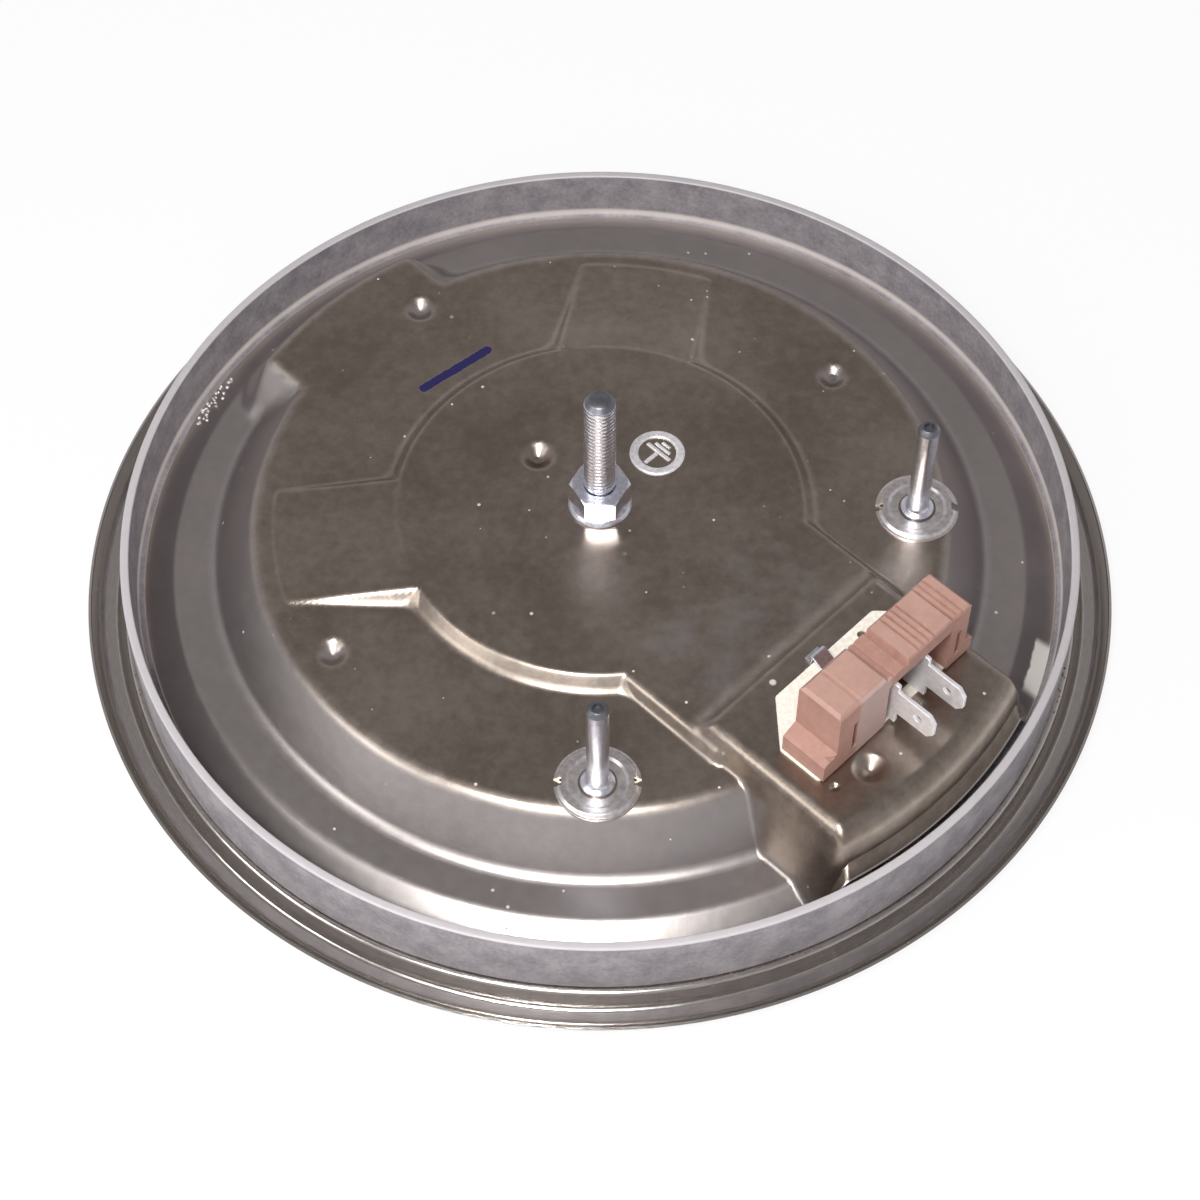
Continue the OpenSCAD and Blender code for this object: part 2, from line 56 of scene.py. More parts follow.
# shader values written as sums and products
class Val:
    def __init__(self, look, out):
        self.look = look
        self.out = out

    def op(self, name, *args):
        return self.look.node("ShaderNodeMath", {"operation": name}, dict(enumerate(args)))

    def __add__(self, b):
        return self.op("ADD", self, b)

    def __radd__(self, b):
        return self.op("ADD", b, self)

    def __sub__(self, b):
        return self.op("SUBTRACT", self, b)

    def __rsub__(self, b):
        return self.op("SUBTRACT", b, self)

    def __mul__(self, b):
        return self.op("MULTIPLY", self, b)

    def __rmul__(self, b):
        return self.op("MULTIPLY", b, self)

    def __truediv__(self, b):
        return self.op("DIVIDE", self, b)

    def __rtruediv__(self, b):
        return self.op("DIVIDE", b, self)

    def __pow__(self, b):
        return self.op("POWER", self, b)

    def __neg__(self):
        return self.op("MULTIPLY", self, -1.0)

    def sin(self):
        return self.op("SINE", self)

    def abs(self):
        return self.op("ABSOLUTE", self)

    def max(self, b):
        return self.op("MAXIMUM", self, b)

    def min(self, b):
        return self.op("MINIMUM", self, b)

    def step(self, a, b):
        """0 below a, 1 above b, eased between; a may be above b"""
        return self.look.node("ShaderNodeMapRange", {"interpolation_type": "SMOOTHSTEP"},
                              {"Value": self, "From Min": a, "From Max": b})


class Look:
    """a material whose shader is written as expressions on object coordinates in millimetres"""

    def __init__(self, name, **fixed):
        self.mat = bpy.data.materials.new(name)
        self.mat.use_nodes = True
        self.tree = self.mat.node_tree
        self.shader = self.tree.nodes["Principled BSDF"]
        self.set(**fixed)
        co = self.node("ShaderNodeTexCoord", out="Object")
        self.co = self.vec("SCALE", co, Scale=1000.0)
        self.x, self.y, self.z = self.split(self.co)
        self.r = (self.x * self.x + self.y * self.y) ** 0.5
        self.v = self.x * float(V_DIR[0]) + self.y * float(V_DIR[1])
        self.u = self.x * float(U_DIR[0]) + self.y * float(U_DIR[1])

    def node(self, kind, settings=None, sockets=None, out=0):
        n = self.tree.nodes.new(kind)
        for k, val in (settings or {}).items():
            setattr(n, k, val)
        for k, val in (sockets or {}).items():
            self.put(n.inputs[k], val)
        return Val(self, n.outputs[out])

    def put(self, socket, val):
        if isinstance(val, Val):
            self.tree.links.new(val.out, socket)
        elif isinstance(val, (tuple, list)) and socket.type == "RGBA" and len(val) == 3:
            socket.default_value = (*val, 1.0)
        else:
            socket.default_value = val

    def set(self, **values):
        for k, val in values.items():
            self.put(self.shader.inputs[k.replace("_", " ")], val)

    def vec(self, name, *args, **more):
        return self.node("ShaderNodeVectorMath", {"operation": name}, {**dict(enumerate(args)), **more})

    def split(self, vector):
        n = self.tree.nodes.new("ShaderNodeSeparateXYZ")
        self.put(n.inputs[0], vector)
        return [Val(self, o) for o in n.outputs]

    def join(self, x, y, z):
        return self.node("ShaderNodeCombineXYZ", None, {0: x, 1: y, 2: z})

    def turn(self):
        return self.node("ShaderNodeMath", {"operation": "ARCTAN2"}, {0: self.y, 1: self.x})

    def mix(self, f, a, b):
        return self.node("ShaderNodeMix", {"data_type": "RGBA"}, {0: f, 6: a, 7: b}, out=2)

    def noise(self, size, detail=3.0, rough=0.55, at=None):
        """noise with features of about this many millimetres"""
        return self.node("ShaderNodeTexNoise", None, {"Vector": at or self.co, "Scale": 1.0 / size,
                                                      "Detail": detail, "Roughness": rough})

    def specks(self, cell, radius, share, at=None):
        """round specks, one in each cell of this size for this share of the cells"""
        n = self.tree.nodes.new("ShaderNodeTexVoronoi")
        self.put(n.inputs["Vector"], at or self.co)
        self.put(n.inputs["Scale"], 1.0 / cell)
        pick, big, _ = self.split(Val(self, n.outputs["Color"]))
        far = Val(self, n.outputs["Distance"]) * cell
        limit = radius * (0.4 + big * 0.9)
        return (far / limit).step(1.1, 0.6) * pick.step(1.0 - share, 1.0 - share + 0.02)

    def bump(self, height, depth):
        """height from 0 to 1 over this depth in millimetres"""
        self.set(Normal=self.node("ShaderNodeBump", None, {"Strength": 1.0, "Distance": depth * MM,
                                                           "Height": height}))


# the object's finishes
def cover_look():
    k = Look("pressed cover sheet", Metallic=1.0)
    cloud = k.noise(26, 4)
    fine = k.noise(2.2, 4, 0.65)
    tone = (cloud * 0.6 + fine * 0.4).step(0.3, 0.72)
    col = k.mix(tone, (0.27, 0.222, 0.182), (0.43, 0.37, 0.318))
    # painted reflection: the walls and shelf below the sectors are tinted lavender grey, standing in for the
    # surroundings mirrored in them
    low = k.z.step(23.2, 21.0) * (1.0 - (k.v - 64).step(0, 3) * (k.u.abs()).step(30, 26))
    col = k.mix(low * 0.6, col, (0.52, 0.495, 0.5))
    # lighter mottled patches over the wide arm
    haze = k.noise(7, 3) * ((k.v - 36).abs()).step(16, 8) * (k.u.abs()).step(23, 15)
    col = k.mix(haze.step(0.35, 0.75) * 0.3, col, (0.62, 0.6, 0.6))
    # dust
    dust = k.specks(3.1, 0.3, 0.3).max(k.specks(8.5, 0.6, 0.3, k.vec("ADD", k.co, (3, 7, 2))))
    dust = dust * k.noise(22, 2).step(0.3, 0.5)
    col = k.mix(dust * 0.8, col, (0.72, 0.66, 0.6))
    # pen stroke
    ax, ay, bx, by = -34.0, 29.6, -22.0, 39.1
    dx, dy = bx - ax, by - ay
    ll = dx * dx + dy * dy
    t = (((k.x - ax) * dx + (k.y - ay) * dy) / ll).max(0.0).min(1.0)
    off = (((k.x - ax - t * dx) ** 2.0) + ((k.y - ay - t * dy) ** 2.0)) ** 0.5
    pen = (off + (k.noise(1.1, 2) - 0.5) * 0.5).step(1.15, 0.85) * k.z.step(22.3, 22.7)
    col = k.mix(pen, col, (0.014, 0.011, 0.075))
    # pale flake at the edge beside the pocket
    flake = ((k.turn() * 57.2958 + 18).abs()).step(4.6, 3.2) * (k.r + k.noise(2, 3) * 2).step(84.6, 85.2)
    col = k.mix(flake, col, (0.8, 0.77, 0.72))
    # painted highlight: a pale line along the sheet's outer edge
    edge = k.r.step(86.45, 86.7)
    col = k.mix(edge, col, (0.82, 0.76, 0.72))
    k.set(Base_Color=col, Metallic=(1.0 - dust * 0.8) * (1.0 - pen) * (1.0 - flake * 0.7),
          Roughness=0.27 + fine * 0.1 + low * 0.05 + dust * 0.3 + flake * 0.2)
    k.bump(fine * 0.6 + k.noise(0.8, 2) * 0.25 + dust * 0.3, 0.035)
    return k.mat


def casting_look():
    k = Look("cast iron", Metallic=0.35)
    turn = k.turn() * 90.0
    wrap = k.join(turn, k.z, k.r)
    blot = k.noise(5.5, 5, 0.62, wrap)
    fine = k.noise(0.8, 3, 0.6)
    col = k.mix((blot * 0.65 + fine * 0.35).step(0.32, 0.7), (0.20, 0.185, 0.2), (0.36, 0.335, 0.35))
    # painted highlight: a pale band in the hollow at the foot of the ring's inner wall
    band = ((k.z - 9.3).abs()).step(1.3, 0.3) * ((k.r - 88.4).abs()).step(0.9, 0.4)
    col = k.mix(band * 0.85, col, (0.74, 0.68, 0.64))
    # painted highlight: the ring's top face lightened to lavender grey
    top = k.z.step(19.0, 19.2)
    col = k.mix(top * 0.8, col, (0.62, 0.59, 0.6))
    rust = k.specks(2.6, 0.5, 0.5, wrap) * k.z.step(7.2, 5.8) * k.z.step(1.0, 4.0)
    col = k.mix(rust * 0.7, col, (0.16, 0.085, 0.045))
    face = k.z.step(1.5, 1.1)
    lathe = (k.r * 7.5).sin() * 0.5 + 0.5
    iron = k.mix(k.noise(14, 4) * 0.6 + lathe * 0.3, (0.055, 0.054, 0.056), (0.105, 0.104, 0.107))
    col = k.mix(face, col, iron)
    k.set(Base_Color=col, Metallic=0.25 + face * 0.35, Roughness=0.56 - face * 0.14 + fine * 0.1)
    k.bump(fine * (1.0 - face) + lathe * face * 0.5 + k.noise(0.35, 2) * 0.3, 0.05)
    return k.mat


def rim_look():
    k = Look("polished rim", Metallic=1.0)
    wrap = k.join(k.turn() * 90.0, k.z * 6.0, k.r * 6.0)
    line = k.noise(2.0, 3, 0.6, wrap)
    col = k.mix(line, (0.50, 0.465, 0.43), (0.72, 0.69, 0.66))
    spot = k.specks(3.4, 0.3, 0.2)
    col = k.mix(spot * 0.6, col, (0.2, 0.15, 0.11))
    k.set(Base_Color=col, Roughness=0.13 + line * 0.08 + spot * 0.3)
    k.bump(line, 0.02)
    return k.mat


def zinc_look():
    k = Look("bright zinc", Metallic=1.0)
    fine = k.noise(0.7, 3)
    col = k.mix(fine.step(0.3, 0.7), (0.72, 0.73, 0.82), (0.9, 0.91, 0.97))
    # painted reflection: the flat ends of the stud and the pins darkened, standing in for dark surroundings
    # mirrored in them
    end_face_reflection = k.z.step(55.0, 55.5) * k.r.step(6, 5)
    end_face_reflection = end_face_reflection.max(k.z.step(46.6, 46.9) * k.r.step(40, 41))
    col = k.mix(end_face_reflection * 0.8, col, (0.06, 0.06, 0.065))
    k.set(Base_Color=col, Roughness=0.2 + fine * 0.1 + end_face_reflection * 0.15)
    return k.mat


def ring_look():
    k = Look("pressed ring", Metallic=1.0)
    fine = k.noise(1.0, 3)
    k.set(Base_Color=k.mix(fine.step(0.3, 0.7), (0.66, 0.62, 0.6), (0.88, 0.84, 0.82)),
          Roughness=0.26 + fine * 0.12)
    return k.mat


def tab_look():
    k = Look("blade tab", Metallic=0.6)
    fine = k.noise(1.4, 3)
    k.set(Base_Color=k.mix(fine.step(0.3, 0.7), (0.82, 0.81, 0.82), (0.95, 0.94, 0.96)),
          Roughness=0.34 + fine * 0.12)
    return k.mat


def block_look():
    k = Look("brown ceramic")
    fine = k.noise(1.2, 4, 0.6)
    cloud = k.noise(9, 3)
    col = k.mix((cloud * 0.6 + fine * 0.4).step(0.3, 0.7), (0.33, 0.175, 0.135), (0.43, 0.245, 0.195))
    # painted reflection of the lamp: a pale greyish patch on the block's outer end face
    flash_glare = (k.v - 70.4).step(0, 0.4) * ((k.u + 5.0).abs()).step(4.6, 3.4)
    col = k.mix(flash_glare * 0.5, col, (0.52, 0.42, 0.4))
    # painted highlight: the block's top face and rib crests lightened
    crest_highlight = k.z.step(44.3, 44.75) * 0.25
    col = k.mix(crest_highlight, col, (0.6, 0.42, 0.35))
    k.set(Base_Color=col, Roughness=0.55 + fine * 0.15)
    k.bump(fine * 0.7 + k.noise(0.4, 2) * 0.3, 0.04)
    return k.mat


def sheet_look():
    k = Look("insulating sheet")
    fine = k.noise(0.9, 4)
    col = k.mix(fine.step(0.35, 0.7), (0.8, 0.75, 0.64), (0.93, 0.9, 0.82))
    k.set(Base_Color=col, Roughness=0.75)
    k.bump(fine, 0.06)
    return k.mat


def sign_look():
    k = Look("raised sign", Metallic=0.55)
    fine = k.noise(0.8, 3)
    k.set(Base_Color=k.mix(fine.step(0.3, 0.7), (0.7, 0.68, 0.69), (0.9, 0.88, 0.89)),
          Roughness=0.42 + fine * 0.1)
    return k.mat


def grain_look(name, dark, light, metallic):
    k = Look(name, Metallic=metallic, Roughness=0.5)
    k.set(Base_Color=k.mix(k.noise(0.5, 2).step(0.3, 0.7), dark, light))
    return k.mat


def plain_look(name, dark, light, metallic, rough, grain):
    k = Look(name, Metallic=metallic)
    n = k.noise(grain, 3)
    k.set(Base_Color=k.mix(n.step(0.3, 0.7), dark, light), Roughness=rough + n * 0.1)
    return k.mat


COVER = cover_look()
IRON = casting_look()
RIM = rim_look()
ZINC = zinc_look()
RING = ring_look()
TAB = tab_look()
BLOCK = block_look()
SHEET = sheet_look()
SIGN = sign_look()
RUST = grain_look("rust grain", (0.1, 0.05, 0.025), (0.24, 0.15, 0.09), 0.0)
NIB = grain_look("bright nib", (0.7, 0.68, 0.66), (0.9, 0.88, 0.85), 0.8)
WHITE = plain_look("white ceramic", (0.74, 0.7, 0.62), (0.84, 0.81, 0.74), 0.0, 0.4, 3)
MASS = plain_look("magnesia compound", (0.6, 0.56, 0.47), (0.72, 0.68, 0.58), 0.0, 0.8, 1.5)
COIL = plain_look("coil wire", (0.12, 0.105, 0.09), (0.2, 0.18, 0.15), 0.9, 0.4, 2)
LEAD = plain_look("lead strip", (0.5, 0.48, 0.43), (0.62, 0.6, 0.56), 1.0, 0.3, 2)
BIMETAL = plain_look("bimetal", (0.48, 0.36, 0.17), (0.58, 0.46, 0.24), 1.0, 0.35, 2)


# mesh helpers; all sizes in millimetres
def arc(a, b, c, r, n):
    a, b, c = (np.array(q, float) for q in (a, b, c))
    p = (a - b) / np.linalg.norm(a - b)
    q = (c - b) / np.linalg.norm(c - b)
    half = math.acos(max(-1.0, min(1.0, float(p @ q)))) / 2
    d = r / math.tan(half)
    m = b + (p + q) / np.linalg.norm(p + q) * (r / math.sin(half))
    s, e = b + p * d - m, b + q * d - m
    sweep = (math.pi - 2 * half) * (1 if s[0] * e[1] - s[1] * e[0] > 0 else -1)
    out = []
    for i in range(n + 1):
        k = sweep * i / n
        out.append((m[0] + s[0] * math.cos(k) - s[1] * math.sin(k),
                    m[1] + s[0] * math.sin(k) + s[1] * math.cos(k)))
    return out


def rounded(points, n=8, loop=False):
    """points as (x, y) or (x, y, radius of the bend there)"""
    out = []
    for i, p in enumerate(points):
        if len(p) == 3 and (loop or 0 < i < len(points) - 1):
            q = points[(i + 1) % len(points)]
            out += arc(points[i - 1][:2], p[:2], q[:2], p[2], n)
        else:
            out.append(tuple(p[:2]))
    return out


def band(line, t):
    """a line of points thickened to both sides, as one outline"""
    p = np.array(line, float)
    d = np.gradient(p, axis=0)
    d /= np.linalg.norm(d, axis=1)[:, None]
    off = np.stack([-d[:, 1], d[:, 0]], 1) * t / 2
    return [tuple(q) for q in np.concatenate([p + off, (p - off)[::-1]])]


def lathe(profile, n=256, centre=(0, 0)):
    """a closed outline of (r, z) turned about an upright axis; points at r 0 are poles"""
    verts, rings = [], []
    for r, z in profile:
        if r < 1e-6:
            rings.append([len(verts)])
            verts.append((centre[0], centre[1], z))
        else:
            rings.append(list(range(len(verts), len(verts) + n)))
            for i in range(n):
                a = 2 * math.pi * i / n
                verts.append((centre[0] + r * math.cos(a), centre[1] + r * math.sin(a), z))
    faces = []
    for k in range(len(rings)):
        a, b = rings[k], rings[(k + 1) % len(rings)]
        for i in range(n):
            j = (i + 1) % n
            if len(a) > 1 and len(b) > 1:
                faces.append((a[i], b[i], b[j], a[j]))
            elif len(a) > 1:
                faces.append((a[i], b[0], a[j]))
            elif len(b) > 1:
                faces.append((a[0], b[i], b[j]))
    return verts, faces


def at_axis(v, u, z):
    return (v * V_DIR[0] + u * U_DIR[0], v * V_DIR[1] + u * U_DIR[1], z)


def prism(outline, a, b, place):
    """an outline swept from a to b; place turns (outline x, outline y, sweep) into a point"""
    n = len(outline)
    verts = [place(x, y, s) for s in (a, b) for x, y in outline]
    faces = [tuple(range(n))[::-1], tuple(range(n, 2 * n))]
    faces += [(i, (i + 1) % n, n + (i + 1) % n, n + i) for i in range(n)]
    return verts, faces


def block_box(v0, v1, u0, u1, z0, z1):
    return prism([(v0, u0), (v1, u0), (v1, u1), (v0, u1)], z0, z1, at_axis)


def make(name, verts, faces, mat=None):
    me = bpy.data.meshes.new(name)
    me.from_pydata([tuple(c * MM for c in p) for p in verts], [], faces)
    b = bmesh.new()
    b.from_mesh(me)
    bmesh.ops.remove_doubles(b, verts=b.verts, dist=1e-8)
    bmesh.ops.recalc_face_normals(b, faces=b.faces)
    b.to_mesh(me)
    b.free()
    if mat:
        me.materials.append(mat)
    o = bpy.data.objects.new(name, me)
    bpy.context.scene.collection.objects.link(o)
    return o


def bake(o):
    """the object's modifiers go into its mesh"""
    dg = bpy.context.evaluated_depsgraph_get()
    dg.update()
    me = bpy.data.meshes.new_from_object(o.evaluated_get(dg))
    o.modifiers.clear()
    o.data = me
    return o


def cut(o, cutters, how="DIFFERENCE"):
    for c in cutters:
        m = o.modifiers.new("cut", "BOOLEAN")
        m.object = c
        m.operation = how
        m.solver = "EXACT"
    bake(o)
    for c in cutters:
        bpy.data.objects.remove(c)
    return o


def soften(o, width, segments=2, angle=32):
    if width:
        m = o.modifiers.new("bevel", "BEVEL")
        m.width = width * MM
        m.segments = segments
        m.limit_method = "ANGLE"
        m.angle_limit = math.radians(angle)
    o.data.polygons.foreach_set("use_smooth", [True] * len(o.data.polygons))
    w = o.modifiers.new("normals", "WEIGHTED_NORMAL")
    w.weight = 90
    w.keep_sharp = True
    return bake(o)


def smooth(o, angle=38):
    o.data.polygons.foreach_set("use_smooth", [True] * len(o.data.polygons))
    o.data.set_sharp_from_angle(angle=math.radians(angle))
    return o


def done(o, mat, slot, *nodes):
    o.data.materials.clear()
    o.data.materials.append(mat)
    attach(o, "root")
    if nodes:
        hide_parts(*nodes)
    return o


# the pressed cover as one height over the plan
def line(points, n=12):
    p = np.array(rounded(points, n))
    return lambda t: np.interp(t, p[:, 0], p[:, 1])


def smax(a, b, k):
    h = np.clip(0.5 + 0.5 * (a - b) / k, 0, 1)
    return b + (a - b) * h + k * h * (1 - h)


def join_drop(a, b, k0):
    """the smaller of two drops, with a rounded joint that dies out where both are small"""
    k = np.maximum(np.minimum(k0, 0.9 * np.minimum(a, b)), 1e-6)
    h = np.clip(0.5 + 0.5 * (b - a) / k, 0, 1)
    return b + (a - b) * h - k * h * (1 - h)


def ease(t, a, b):
    h = np.clip((t - a) / (b - a), 0, 1)
    return h * h * (3 - 2 * h)


# heights of the sectors, the disc, the terminal pocket and the shelf
FLOOR, DISC, POCKET, SHELF = 23.0, 25.6, 28.2, 12.5
PIN_R = 59.297
dish_line = line([(0, FLOOR), (64.6, FLOOR, 4), (73.1, SHELF, 3.4), (80.5, SHELF, 3), (86.8, 8.9), (95, 4.2)])
disc_line = line([(0, DISC), (38, DISC, 1.7), (58, DISC - 20.4)])
arm_line = line([(0, 0), (12.6, 0, 1.9), (42.6, -32.2)])
wide_line = line([(0, DISC), (24, DISC, 1.9), (44, DISC - 34.6)])
pocket_side = line([(0, POCKET), (22.4, POCKET, 2.8), (42.4, POCKET - 53)])
pocket_step = line([(0, POCKET - 44.4), (49, POCKET, 2), (200, POCKET)])
pocket_out = line([(0, POCKET), (84.4, POCKET, 4.6), (90.4, POCKET - 51.6)])
lobe_side = line([(0, FLOOR), (18.2, FLOOR, 3.2), (48.2, FLOOR - 39.8)])
lobe_out = line([(0, FLOOR), (74.6, FLOOR, 3.4), (90, FLOOR - 31.6)])
SINK = math.atan(2.6 / 25.7)
DENTS = [(16.3, 136, 4.0, 2.1), (61.2, 125.5, 3.7, 1.9), (55.7, 36.1, 3.7, 1.9), (57.8, -146.9, 3.7, 1.9),
         (75.5, -51.6, 3.6, 1.8), (74.95, -57.2, 1.1, 0.6)]


def arm_height(x, y, at, out):
    a, d = math.radians(at), math.radians(out)
    dx, dy = x - 36.8 * math.cos(a), y - 36.8 * math.sin(a)
    s = dx * math.cos(d) + dy * math.sin(d)
    t = -dx * math.sin(d) + dy * math.cos(d)
    z = DISC - 0.1 - s * math.tan(SINK) + arm_line(np.abs(t)) / math.cos(SINK)
    z = np.where(s < -14, -60, np.minimum(z, DISC))
    r = np.hypot(x, y)
    return z - 4 * ease(r, 60.5, 64) - 1.6 * (FLOOR - dish_line(r))


def height(x, y):
    r = np.hypot(x, y)
    v = x * V_DIR[0] + y * V_DIR[1]
    u = x * U_DIR[0] + y * U_DIR[1]
    side = np.abs(u)
    # sectors, wall, shelf and lobe
    lobe = np.hypot(FLOOR - lobe_side(side), FLOOR - lobe_out(r)) + np.where(v > 0, 60, 0)
    base = FLOOR - join_drop(FLOOR - dish_line(r), lobe, 3.0)
    # disc and arms
    wide = DISC - wide_line(side) + np.where(v < 2, 60, 0) + 9 * ease(v, 52, 61)
    d = join_drop(DISC - disc_line(r), wide, 2.2)
    for at, out in ((82.5, 79), (190.5, 183.5)):
        d = join_drop(d, DISC - arm_height(x, y, at, out), 2.2)
    z = smax(base, DISC - d, 1.0)
    # terminal pocket
    drop = np.sqrt((POCKET - pocket_side(side)) ** 2 + (POCKET - pocket_step(v)) ** 2
                   + (POCKET - pocket_out(r)) ** 2)
    z = smax(z, np.where(v > 30, POCKET - drop, -60), 1.8)
    for dr, da, size, deep in DENTS:
        a = math.radians(da)
        t = np.hypot(x - dr * math.cos(a), y - dr * math.sin(a)) / size
        z = z - np.where(t < 1, deep * (0.5 + 0.5 * np.cos(math.pi * np.minimum(t, 1))), 0)
    return z


def spaced(lo, hi, n, weight):
    t = np.linspace(lo, hi, 6000)
    w = np.cumsum(weight(t))
    w = (w - w[0]) / (w[-1] - w[0])
    return np.interp(np.linspace(0, 1, n), w, t)


def ring_weight(r):
    w = np.ones_like(r)
    for a, b in ((36.5, 42.5), (45, 51), (61.5, 68), (69.5, 76), (77.5, 84)):
        w += 1.7 * ease(r, a - 1, a) * (1 - ease(r, b, b + 1))
    return w


def spoke_weight(a):
    w = np.ones_like(a)
    for lo, hi, k in ((-86, -4, 1.5), (64, 98, 0.8), (172, 206, 0.8)):
        w += k * ease(a, lo - 4, lo) * (1 - ease(a, hi, hi + 4))
    return w


def cover_piece():
    nr, ns, k = 145, 600, 3
    rr = spaced(3.15, 86.8, nr, ring_weight)
    aa = np.radians(spaced(-130, 230, ns + 1, spoke_weight)[:-1])
    R, A = np.meshgrid(rr, aa, indexing="ij")
    X, Y = R * np.cos(A), R * np.sin(A)
    e = 0.03
    Z = height(X, Y)
    gx = (height(X + e, Y) - height(X - e, Y)) / (2 * e)
    gy = (height(X, Y + e) - height(X, Y - e)) / (2 * e)
    N = np.stack([-gx, -gy, np.ones_like(gx)], -1)
    N /= np.linalg.norm(N, axis=-1, keepdims=True)
    top = np.stack([X, Y, Z], -1)
    low = (top - 0.6 * N)[::k, ::k]
    low_n = -N[::k, ::k]
    out_r = np.hypot(low[-1, :, 0], low[-1, :, 1])
    low[-1, :, :2] *= (86.75 / out_r)[:, None]
    verts = np.concatenate([top.reshape(-1, 3), low.reshape(-1, 3)])
    base = nr * ns
    lr, ls = low.shape[:2]

    def up(i, j):
        return i * ns + j % ns

    def dn(i, j):
        return base + i * ls + j % ls

    faces, kinds = [], []
    for i in range(nr - 1):
        for j in range(ns):
            faces.append((up(i, j), up(i + 1, j), up(i + 1, j + 1), up(i, j + 1)))
    kinds += [0] * len(faces)
    n0 = len(faces)
    for i in range(lr - 1):
        for j in range(ls):
            faces.append((dn(i, j), dn(i, j + 1), dn(i + 1, j + 1), dn(i + 1, j)))
    kinds += [1] * (len(faces) - n0)
    for j in range(ls):
        faces.append((dn(lr - 1, j), dn(lr - 1, j + 1)) + tuple(up(nr - 1, k * j + m) for m in (3, 2, 1, 0)))
        faces.append(tuple(up(0, k * j + m) for m in (0, 1, 2, 3)) + (dn(0, j + 1), dn(0, j)))
        kinds += [2, 3]
    me = bpy.data.meshes.new("pressed_cover")
    me.from_pydata((verts * MM).tolist(), [], faces)
    me.polygons.foreach_set("use_smooth", [True] * len(me.polygons))
    every = np.concatenate([N.reshape(-1, 3), low_n.reshape(-1, 3)])
    idx = np.zeros(len(me.loops), np.int32)
    me.loops.foreach_get("vertex_index", idx)
    loops = every[idx]
    kind = np.repeat(kinds, [len(f) for f in faces])
    radial = verts[idx] * np.array([1, 1, 0])
    radial /= np.linalg.norm(radial, axis=1, keepdims=True)
    loops[kind == 2] = radial[kind == 2]
    loops[kind == 3] = -radial[kind == 3]
    me.normals_split_custom_set(loops.tolist())
    o = bpy.data.objects.new("pressed_cover", me)
    bpy.context.scene.collection.objects.link(o)
    return done(o, COVER, "cover_sheet", "bottom_cover")


def casting_piece():
    p = rounded([(0, 0.8), (19.3, 0.8, 0.3), (20.1, 0, 0.3), (87.6, 0, 0.6), (89.5, 1.6, 0.6), (89.5, 4.25, 0.1),
                 (89, 4.45), (89, 5.35), (90, 5.6, 0.2), (90, 19.4, 0.45), (88.4, 19.4, 0.3),
                 (87.9, 8.3, 1.4), (74.8, 8.3, 0.3), (73.2, 4.1), (8.2, 4.1, 0.5), (8.2, 14, 0.5),
                 (6.4, 25, 0.3), (2.72, 25), (2.72, 13.9), (0, 13.9)], 5)
    return done(smooth(make("iron_casting", *lathe(p, 360)), 30), IRON, "cast_iron", "plate_casting")


def rim_piece():
    p = rounded([(89.05, 4.9), (90.7, 4.9, 0.8), (92.5, 1.7, 1.4), (95.9, 1.85, 2.4), (97.55, 4.6, 1),
                 (97.68, 5.02)], 8)
    return done(smooth(make("spill_rim", *lathe(band(p, 0.5), 360)), 40), RIM, "stainless", "overflow_rim")


def stud_piece():
    """stud with a helical thread, closed at both ends"""
    n, pitch = 40, 1.0
    zs = np.concatenate([[14.0, 14.4], np.arange(14.8, 55.2, 0.125), [55.4, 55.8, 56.1, 56.3]])
    verts, faces = [], []
    for z in zs:
        for i in range(n):
            f = i / n
            wave = abs(((z / pitch - f) % 1.0) * 2 - 1)
            r = 2.95 - 0.13 * min(1.0, max(0.0, wave * 1.5 - 0.25))
            if z < 32.0:
                r = 2.62
            r = min(r, 1.95 + max(0.0, 56.3 - z) * 0.85, 1.9 + (z - 14) * 1.0)
            verts.append((r * math.cos(2 * math.pi * f), r * math.sin(2 * math.pi * f), z))
    for k in range(len(zs) - 1):
        for i in range(n):
            j = (i + 1) % n
            faces.append((k * n + i, k * n + j, (k + 1) * n + j, (k + 1) * n + i))
    last = (len(zs) - 1) * n
    faces += [tuple(range(n))[::-1], tuple(range(last, last + n))]
    return done(smooth(make("threaded_stud", verts, faces), 50), ZINC, "zinc_steel", "centre_stud")


def nut_piece():
    hexa = [(5.7735 * math.cos(math.radians(a)), 5.7735 * math.sin(math.radians(a))) for a in range(0, 360, 60)]
    o = make("hex_nut", *prism(hexa, 26.7, 31.8, lambda x, y, z: (x, y, z)))
    cone = make("cone", *lathe([(0, 26.6), (5.0, 26.6), (5.85, 27.2), (5.85, 31.3), (5.0, 31.9), (0, 31.9)], 64))
    cut(o, [cone], "INTERSECT")
    bore = make("bore", *lathe([(0, 20), (2.72, 20), (2.72, 40), (0, 40)], 48))
    mouth = make("mouth", *lathe([(0, 31.3), (2.72, 31.3), (3.35, 31.95), (0, 31.95)], 48))
    cut(o, [bore, mouth])
    return done(soften(o, 0.12, 2, 25), ZINC, "zinc_steel", "centre_nut")


def washer_piece():
    p = rounded([(3.15, 25.6), (5.9, 25.6, 0.1), (6, 25.95, 0.15), (5.4, 26.7, 0.2), (3.15, 26.7)], 4)
    return done(smooth(make("spring_washer", *lathe(p, 64)), 40), ZINC, "zinc_steel", "centre_washer")


def pin_piece(name, a, node):
    a = math.radians(a)
    c = (PIN_R * math.cos(a), PIN_R * math.sin(a))
    p = rounded([(0, 21.2), (3.2, 21.2), (3.2, 22.35), (1.6, 22.35), (1.6, 23), (3.1, 23, 0.1), (3.1, 24, 0.25),
                 (2.3, 24.5, 0.2), (2, 25, 0.3), (2, 46.9, 0.3), (1.35, 47.9, 0.2), (0.9, 47.9), (0.7, 47.3),
                 (0, 47.2)], 4)
    return done(smooth(make(name, *lathe(p, 48, c)), 42), ZINC, "zinc_steel", node)


